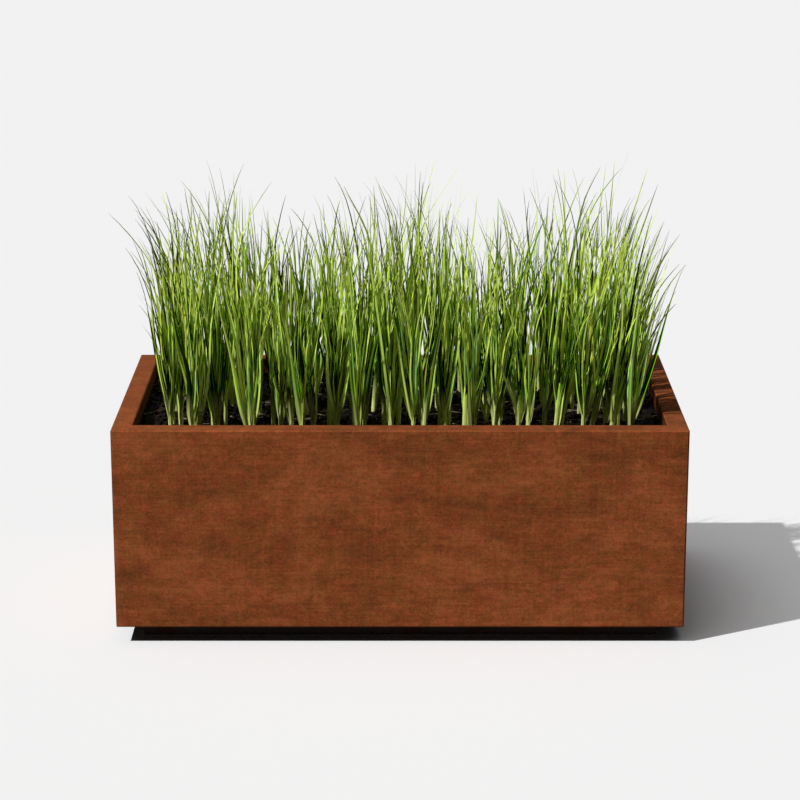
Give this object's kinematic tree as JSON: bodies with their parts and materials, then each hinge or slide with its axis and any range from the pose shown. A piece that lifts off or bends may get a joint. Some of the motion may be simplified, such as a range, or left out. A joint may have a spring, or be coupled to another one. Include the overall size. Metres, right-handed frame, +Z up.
{
  "type": "planter box",
  "caption": "Rectangular weathering steel planter box on a recessed plinth, filled with soil and planted with upright clumping grass.",
  "frame": {"origin": "on the ground under the middle of the box", "axes": "+X along the box to the right seen from the front, +Y from the front panel to the back panel, +Z up"},
  "size_m": [0.9, 0.48, 0.7483],
  "materials": {
    "weathering_steel": "matte",
    "dark_steel": "matte",
    "zinc_steel": "satin",
    "black_rubber": "matte",
    "gravel": "matte",
    "fleece": "matte",
    "soil": "matte",
    "grass": "satin"
  },
  "bodies": {
    "planter": {"front_panel": "weathering_steel", "back_panel": "weathering_steel", "left_panel": "weathering_steel", "right_panel": "weathering_steel", "corner_welds": "dark_steel", "rim_gussets": "dark_steel", "base_pan": "dark_steel", "plinth_front_rail": "dark_steel", "plinth_back_rail": "dark_steel", "plinth_left_rail": "dark_steel", "plinth_right_rail": "dark_steel", "plinth_cross_rail_left": "dark_steel", "plinth_cross_rail_right": "dark_steel", "tie_bar_left": "dark_steel", "tie_bar_right": "dark_steel", "bar_brackets": "dark_steel", "plinth_bolts": "zinc_steel", "plinth_washers": "zinc_steel", "plinth_nuts": "zinc_steel", "bar_bolts": "zinc_steel", "bar_nuts": "zinc_steel", "drainage_gravel": "gravel", "filter_fleece": "fleece", "soil_fill": "soil", "grass_front_1": "grass", "grass_front_2": "grass", "grass_front_3": "grass", "grass_front_4": "grass", "grass_front_5": "grass", "grass_front_6": "grass", "grass_middle_1": "grass", "grass_middle_2": "grass", "grass_middle_3": "grass", "grass_middle_4": "grass", "grass_middle_5": "grass", "grass_middle_6": "grass", "grass_back_1": "grass", "grass_back_2": "grass", "grass_back_3": "grass", "grass_back_4": "grass", "grass_back_5": "grass", "grass_back_6": "grass"},
    "drain_plug_front_left": {"drain_plug_front_left": "black_rubber"},
    "drain_plug_front_right": {"drain_plug_front_right": "black_rubber"},
    "drain_plug_back_left": {"drain_plug_back_left": "black_rubber"},
    "drain_plug_back_right": {"drain_plug_back_right": "black_rubber"}
  },
  "joints": [
    {"name": "drain_plug_front_left_pull", "type": "slide", "parent": "planter", "child": "drain_plug_front_left", "axis": [0, 0, -1], "range_m": [0, 0.012]},
    {"name": "drain_plug_front_right_pull", "type": "slide", "parent": "planter", "child": "drain_plug_front_right", "axis": [0, 0, -1], "range_m": [0, 0.012]},
    {"name": "drain_plug_back_left_pull", "type": "slide", "parent": "planter", "child": "drain_plug_back_left", "axis": [0, 0, -1], "range_m": [0, 0.012]},
    {"name": "drain_plug_back_right_pull", "type": "slide", "parent": "planter", "child": "drain_plug_back_right", "axis": [0, 0, -1], "range_m": [0, 0.012]}
  ]
}
